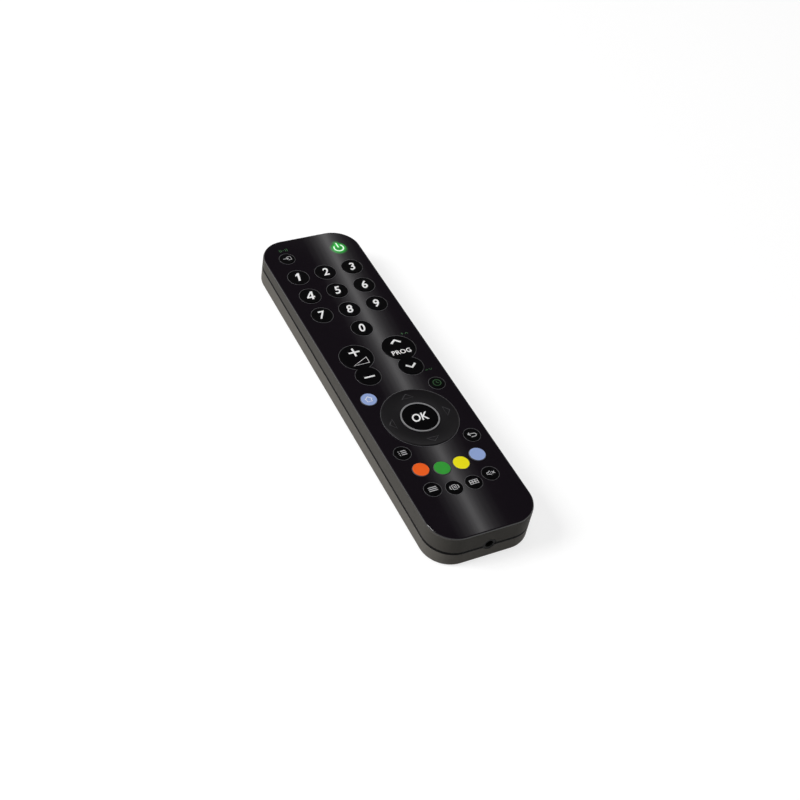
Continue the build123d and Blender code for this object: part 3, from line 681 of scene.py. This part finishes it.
plus = [[(-2.6, 0), (2.6, 0)], [(0, 0.5), (0, 2.5)], [(0, -0.5), (0, -2.5)]]
wedge = [[(-3.7, -1.7), (3.7, 1.9), (3.7, -1.7)]]
upward = [[(-2.3, -0.9), (0, 1.0), (2.3, -0.9)]]
downward = [[(-2.3, 0.95), (0, -1.0), (2.3, 0.95)]]
print_marks((
    ("legend_plus", plus, 0.95, False, "volume_rocker", (-10.15, 44.5)),
    ("legend_minus", [[(-2.5, 0), (2.5, 0)]], 0.85, False, "volume_rocker", (-10.1, 28.5)),
    ("legend_volume", wedge, 0.42, True, "volume_rocker", (-10.0, 38.4)),
    ("legend_up", upward, 1.05, False, "programme_rocker", (10.3, 45.3)),
    ("legend_down", downward, 1.05, False, "programme_rocker", (10.35, 29.2)),
), white_ink)
mesh = lettering("legend_programme", "PROG", 2.6, 0.06, white_ink, spacing=1.06, narrow=0.96)
laid_on(mesh, "programme_rocker", *at_ring(10.15, 38.6))

# Four outlined triangles on the navigation ring: the lighter lines are a painted highlight on the edges of the
# embossed arrows.
triangle = [(-2.7, 0), (2.7, 0), (0, 2.3)]
ARROW_PLACE = 11.9
for turn, name in enumerate(("arrow_far", "arrow_left", "arrow_near", "arrow_right")):
    angle = radians(90 * turn)
    points = []
    for x, y in triangle:
        out = y + ARROW_PLACE
        points.append((x * cos(angle) - out * sin(angle), x * sin(angle) + out * cos(angle)))
    laid_on(strokes(name, [points], 0.3, arrow_edge_highlight, closed=True), "navigation_ring", RING_X, RING_Y)

# Icons of the small keys.
icons = {
    "key_source": [
        [(0.2, 1.1), (1.9, 1.1), (1.9, -1.1), (0.2, -1.1)],
        [(-2.0, 0), (0.6, 0)], [(-0.3, 0.75), (0.6, 0), (-0.3, -0.75)],
    ],
    "key_home": [[(-1.7, 0.1), (0, 1.6), (1.7, 0.1)], [(-1.1, 0.2), (-1.1, -1.3), (1.1, -1.3), (1.1, 0.2)]],
    "key_timer": [[*round_loop(1.75, 32), (1.75, 0)], [(0, 1.0), (0, 0), (0.8, -0.5)]],
    "key_list": [
        [(-1.7, 1.0), (-1.2, 1.0)], [(-0.6, 1.0), (1.8, 1.0)], [(-1.7, 0), (-1.2, 0)], [(-0.6, 0), (1.8, 0)],
        [(-1.7, -1.0), (-1.2, -1.0)], [(-0.6, -1.0), (1.8, -1.0)],
    ],
    "key_return": [
        [(-1.8, 0.45), (0.9, 0.45), *arc((0.9, -0.4), 0.85, 80, -90, 10), (-0.8, -1.25)],
        [(-0.9, 1.3), (-1.8, 0.45), (-0.9, -0.4)],
    ],
    "key_options": [[(-1.9, 0.9), (1.9, 0.9)], [(-1.9, 0), (1.9, 0)], [(-1.9, -0.9), (1.9, -0.9)]],
    "key_text": [
        [*rectangle(1.7, 2.4), (-0.85, -1.2)], [(-1.5, 0.9), (-1.9, 0.4), (-1.9, -0.4), (-1.5, -0.9)],
        [(1.5, 0.9), (1.9, 0.4), (1.9, -0.4), (1.5, -0.9)],
        [(-0.2, 0.3), (0.4, 0.3)], [(-0.2, -0.3), (0.4, -0.3)],
    ],
    "key_guide": [
        [*rectangle(3.6, 2.0), (-1.8, -1.0)], [(-0.6, -1.0), (-0.6, 1.0)], [(0.6, -1.0), (0.6, 1.0)],
        [(-1.8, 0), (1.8, 0)],
    ],
    "key_mute": [
        [(-1.6, 0.45), (-0.8, 0.45), (0.1, 1.2), (0.1, -1.2), (-0.8, -0.45), (-1.6, -0.45), (-1.6, 0.45)],
        [(0.7, 0.6), (1.9, -0.6)], [(0.7, -0.6), (1.9, 0.6)],
    ],
}
icon_inks = {"key_home": white_ink, "key_timer": green_ink}
ICON_WIDTH = 0.34
for key, lines in icons.items():
    mesh = strokes(key.replace("key_", "icon_"), lines, ICON_WIDTH, icon_inks.get(key, icon_ink))
    laid_on(mesh, key, *middle(key))

# Small green marks beside three keys.
MARK_WIDTH = 0.3
waves = [
    arc((0, 0), 1.9, 150, 210, 8), arc((0, 0), 1.9, 30, -30, 8),
    arc((0, 0), 1.1, 140, 220, 8), arc((0, 0), 1.1, 40, -40, 8), [(-0.25, 0), (0.25, 0)],
]
page_up = [[(-1.6, 0), (-0.4, 0)], [(-1.0, 0.6), (-1.0, -0.6)], [(0.3, -0.5), (1.0, 0.5), (1.7, -0.5)]]
page_down = [[(-1.6, 0), (-0.4, 0)], [(0.3, 0.5), (1.0, -0.5), (1.7, 0.5)]]
print_marks((
    ("mark_source", waves, MARK_WIDTH, False, "face_plate", (-12.7, 118.3)),
    ("mark_up", page_up, MARK_WIDTH, False, "face_plate", (16.7, 49.3)),
    ("mark_down", page_down, MARK_WIDTH, False, "face_plate", (16.7, 24.9)),
), green_ink)

# Grey outlines just outside the key holes and round the navigation ring: a painted glint of their rounded edges.
# The colour keys and the power key have none.
OUTLINE_WIDTH = 0.16
DIGIT_OUTLINE, SMALL_OUTLINE, RING_OUTLINE = 5.03, 3.73, 16.73
ROCKER_LARGE_OUTLINE, ROCKER_SMALL_OUTLINE, ROCKER_PITCH = 7.73, 5.73, 12.15
ROCKER_PLACE = (10.3, 41.59)
bare_keys = {"key_red", "key_green", "key_yellow", "key_blue", "key_home", "key_power", "key_ok"}
points = []
radii = []
for key in sorted(name for name in NODES if name.startswith("key_") and name not in bare_keys):
    x, y = middle(key)
    points.append((x - RING_X, (y - RING_Y) / cos(FACE_TILT), 0))
    radii.append((DIGIT_OUTLINE if key[4:].isdigit() else SMALL_OUTLINE) * MM)
points.append((0, 0, 0))
radii.append(RING_OUTLINE * MM)
holes = bpy.data.meshes.new("hole_places")
holes.from_pydata(points, [], [])
carried = holes.attributes.new("hole_radius", "FLOAT", "POINT")
for place, radius in enumerate(radii):
    carried.data[place].value = radius
inputs = {"Width": OUTLINE_WIDTH * MM, "Thickness": INK_AND_GLINT_THICKNESS, "Ink_and_glint": edge_glint_grey}
mesh = grown("key_outlines", linked("hole_places", holes), KEY_OUTLINES, inputs)
laid_on(mesh, "face_plate", RING_X, RING_Y)


def merged_discs(large, small, pitch):
    """The outline of two overlapping discs, the large one's middle at the origin and the small one below it."""
    meet = (pitch**2 + large**2 - small**2) / (2 * pitch)
    half = sqrt(large**2 - meet**2)
    upper = degrees(atan2(-meet, half))
    lower = degrees(atan2(pitch - meet, half))
    top = arc((0, 0), large, upper, 180 - upper, 72)
    bottom = arc((0, -pitch), small, 180 - lower, 360 + lower, 56)
    return top + bottom[1:-1]


# The rockers' outlines on the face plate: the same painted glint.
for side, rocker in ((-1, "volume_rocker"), (1, "programme_rocker")):
    outline = merged_discs(ROCKER_LARGE_OUTLINE, ROCKER_SMALL_OUTLINE, ROCKER_PITCH)
    mesh = strokes(rocker.replace("rocker", "outline"), [outline], OUTLINE_WIDTH, edge_glint_grey, closed=True)
    laid_on(mesh, "face_plate", *at_ring(side * ROCKER_PLACE[0], ROCKER_PLACE[1]))


# The power key's symbol.
core_ink = lit_key("power_core", (0.75, 1.0, 0.78), (0.86, 1.0, 0.88), 1.0)
symbol = [arc((0, 0), POWER_RING, 140, 410, 48), [(0, POWER_BAR_BOTTOM), (0, POWER_BAR_TOP)]]
laid_on(strokes("power_symbol", symbol, 0.6, core_ink), "key_power", POWER_X, POWER_Y)


# ---------------------------------------------------------------- finishes of the carried-over nodes

key_black = satin_key("key_black", (0.0013, 0.0012, 0.0015), (0.0022, 0.0020, 0.0024), 0.42, 0.03)
ring_black = satin_key("ring_black", (0.0052, 0.0046, 0.0055), (0.0070, 0.0063, 0.0073), 0.45, 0.22)
# The two shells are one plastic; the lower shell's colour is twice the upper's: painted light for its brighter
# wall.
upper_case = moulded_case("upper_case", (0.060, 0.0565, 0.0505), (0.070, 0.066, 0.059), 0.62, PARTING)
lower_case = moulded_case("lower_case", (0.120, 0.113, 0.101), (0.137, 0.129, 0.115), 0.62, PARTING)
tin = tinned_steel()
black_epoxy = moulded_component("black_epoxy", (0.012, 0.012, 0.013), (0.022, 0.022, 0.023), 0.5)
black_nylon = moulded_component("black_nylon", (0.007, 0.007, 0.007), (0.013, 0.013, 0.013), 0.12)
clear_epoxy = lamp_epoxy()
rubber = silicone()
left_low, left_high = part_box("battery_left")
right_low, right_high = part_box("battery_right")

node_finishes = {
    "face_plate": glossy_acrylic(),
    "front_case": upper_case,
    "rear_case": lower_case,
    "battery_door": lower_case,
    "infrared_window": infrared_filter(),
    "circuit_board": solder_mask(),
    "keypad_mat": rubber,
    "navigation_cushion": rubber,
    "controller_chip": black_epoxy,
    "jack_socket": black_nylon,
    "resonator": tin,
    "case_screws": tin,
    "battery_contacts": tin,
    "battery_springs": tin,
    "capacitor": shrink_sleeve("capacitor"),
    "power_lamp": clear_epoxy,
    "infrared_lamp": clear_epoxy,
    "battery_left": cell_jacket("left_jacket", left_high[1], left_low[1]),
    "battery_right": cell_jacket("right_jacket", right_low[1], right_high[1]),
    "navigation_ring": ring_black,
    "ok_ring": satin_silver(),
    "key_power": lit_key("power_cap", (0.0, 0.0, 0.0), GLOW_GREEN, GLOW_REACH),
}
light_blue = ((0.25, 0.34, 0.60), (0.29, 0.38, 0.65))
cap_colours = {
    "key_red": ((0.78, 0.10, 0.012), (0.84, 0.125, 0.018)),
    "key_green": ((0.032, 0.29, 0.034), (0.04, 0.32, 0.042)),
    "key_yellow": ((0.78, 0.70, 0.008), (0.84, 0.77, 0.014)),
    "key_blue": light_blue,
    "key_home": light_blue,
}
for key, (dark, light) in cap_colours.items():
    node_finishes[key] = satin_key(key.replace("key_", "cap_"), dark, light, rim_of=key)

for node_name, carried_over in NODES.items():
    carried_over.data.materials.clear()
    carried_over.data.materials.append(node_finishes.get(node_name, key_black))


# ---------------------------------------------------------------- floor, light and camera


def face_to_row(x, y, z):
    """A row-frame point in metres, from millimetres measured from the ring, along and out of the leaning face."""
    along = RING_Y / cos(FACE_TILT) / MM + y
    return Vector((
        x * MM,
        (along * cos(FACE_TILT) + z * sin(FACE_TILT)) * MM,
        (FACE_MIDDLE / MM - along * sin(FACE_TILT) + z * cos(FACE_TILT)) * MM,
    ))


def rounded_outline(width, length, radius, steps=12):
    """The outline of a rounded rectangle round the origin, in millimetres."""
    x, y = width / 2 - radius, length / 2 - radius
    corners = (((x, y), 0), ((-x, y), 90), ((-x, -y), 180), ((x, -y), 270))
    return [place for centre, start in corners for place in arc(centre, radius, start, start + 90, steps)]


# The floor is open under the remote and clear from below, so that the underside can be seen and lit.
# It lies a little below the base, and its paper glows more faintly near the remote, so that the shadow shows.
FLOOR_DROP = 0.02 * MM
FLOOR_RADIUS = 6
OPENING_MARGIN, OPENING_CORNER = 4, 10.5
NEAR_GLOW = (0.74, 0.74, 0.74)
low, high = cad_box
inner = rounded_outline(
    (high[0] - low[0]) / MM - OPENING_MARGIN, (high[1] - low[1]) / MM - OPENING_MARGIN, OPENING_CORNER
)
rim = [Vector((x, y, 0)) * MM for x, y in inner]
outer = [place.normalized() * FLOOR_RADIUS for place in rim]
count = len(rim)
floor_mesh = bpy.data.meshes.new("floor")
floor_mesh.from_pydata(
    [place + Vector((0, 0, -FLOOR_DROP)) for place in rim + outer], [],
    [(step, step + count, (step + 1) % count + count, (step + 1) % count) for step in range(count)],
)
floor = linked("floor", floor_mesh)
paper = Finish("pale_paper", 0.9)
paper.feed("Base Color", paper.between(paper.noise(0.001, 2.0), (0.30, 0.30, 0.30), (0.32, 0.32, 0.32)))
from_remote = (paper.along("X") ** 2 + paper.along("Y") ** 2) ** 0.5
farther = (from_remote * 0.5 - 0.35).most(0).least(1)
paper.feed("Emission Color", paper.between(farther, NEAR_GLOW, (1, 1, 1)))
paper.feed("Emission Strength", paper.seen_rays())
below = paper.node("ShaderNodeNewGeometry", output="Backfacing")
clear = paper.node("ShaderNodeBsdfTransparent")
seen = Wire(paper, paper.shader.outputs[0])
one_sided = paper.node("ShaderNodeMixShader", None, {0: below, 1: seen, 2: clear})
paper.tree.links.new(one_sided.socket, paper.tree.nodes["Material Output"].inputs["Surface"])
floor_mesh.materials.append(paper.material)


def lit_card(name, width, length, radiance, placed):
    """A rectangular lamp as bright as a lit card of that size, placed by a matrix."""
    lamp = bpy.data.lights.new(name, "AREA")
    lamp.shape = "RECTANGLE"
    lamp.size = width
    lamp.size_y = length
    lamp.energy = radiance * pi * width * length
    holder = linked(name, lamp)
    holder.matrix_world = placed
    holder.visible_camera = False
    return holder


def soft_light(name, place, size, radiance):
    """A square lamp that points at the remote."""
    turned = (-Vector(place)).to_track_quat("-Z", "Y").to_matrix().to_4x4()
    return lit_card(name, size, size, radiance, Matrix.Translation(place) @ turned)


soft_light("window_light", (-1.31, 0.34, 1.12), 0.7, 19)
# The ceiling light fills in, and the glossy face doesn't mirror it.
soft_light("ceiling_light", (0, 0, 2.4), 1.4, 2.3).visible_glossy = False
soft_light("corner_light", (1.5, -0.75, 0.6), 0.6, 1.1)

# A narrow strip, seen in the glossy face as one soft streak.
strip_start = face_to_row(562.5, 577, 1000)
strip_end = face_to_row(624.5, 1363, 1000)
strip_middle = (strip_start + strip_end) / 2
# The widths and radiances of the cards that it is stacked from, so that its edges fade.
STREAK_STEPS = ((0.008, 0.62), (0.019, 0.46), (0.032, 0.29), (0.048, 0.19), (0.065, 0.10))
run = (strip_end - strip_start).normalized()
facing = (strip_middle - face_to_row(0, 20, 0)).normalized()
across = run.cross(facing).normalized()
out = across.cross(run).normalized()
turned = Matrix((across, run, out)).transposed().to_4x4()
for step, (width, radiance) in enumerate(STREAK_STEPS):
    place = Matrix.Translation(strip_middle + out * 0.003 * step)
    lit_card(f"strip_{step}", width, (strip_end - strip_start).length, radiance, place @ turned)

# White as a background, and seen in gloss as white low down and dark overhead, where the face looks.
# As light it is dim, except from below, which reaches only the underside.
world = bpy.data.worlds.new("studio")
bpy.context.scene.world = world
world.use_nodes = True
studio = Shading(world.node_tree)
direction = studio.node("ShaderNodeTexCoord", output="Generated")
height = studio.node("ShaderNodeSeparateXYZ", None, {0: direction}, output="Z")
band = studio.node("ShaderNodeMapRange", None, {
    "Value": height, "From Min": 0.30, "From Max": 0.62, "To Min": 1.0, "To Max": 0.0,
})
as_light = (1 - height.over(0)) * 0.75 + 0.12
background = studio.node("ShaderNodeLightPath", output="Is Camera Ray")
in_gloss = studio.seen_rays()
strength = (in_gloss * band + (1 - in_gloss) * as_light).most(background)
backdrop = world.node_tree.nodes["Background"]
backdrop.inputs["Color"].default_value = (1, 1, 1, 1)
world.node_tree.links.new(strength.socket, backdrop.inputs["Strength"])

# The camera, as fitted to the photograph: its focal length in pixels, its angles to the face, its distance from
# the point it looks at, and that point, in millimetres from the ring.
SENSOR_WIDTH, IMAGE_WIDTH, FOCAL_PIXELS = 36, 800, 1395.87
AIM = (-3.6049, 11.9149, 0)
lens = bpy.data.cameras.new("camera")
lens.sensor_width = SENSOR_WIDTH
lens.lens = SENSOR_WIDTH * FOCAL_PIXELS / IMAGE_WIDTH
lens.clip_start = 0.01
lens.clip_end = 50
camera = linked("camera", lens)
azimuth, elevation, roll, distance = radians(-33.6111), radians(44.0849), radians(10.8036), 590.08
back = Vector((sin(azimuth) * cos(elevation), -cos(azimuth) * cos(elevation), sin(elevation)))
right = (-back).cross(Vector((0, 0, 1))).normalized()
up = right.cross(-back)
rolled_right = right * cos(roll) + up * sin(roll)
rolled_up = up * cos(roll) - right * sin(roll)
turn = Matrix((rolled_right, rolled_up, back)).transposed()
place = Vector(AIM) + back * distance
lean = Matrix.Rotation(-FACE_TILT, 3, "X")
camera.matrix_world = Matrix.Translation(face_to_row(*place)) @ (lean @ turn).to_4x4()
bpy.context.scene.camera = camera

bpy.context.scene.view_settings.view_transform = "Standard"
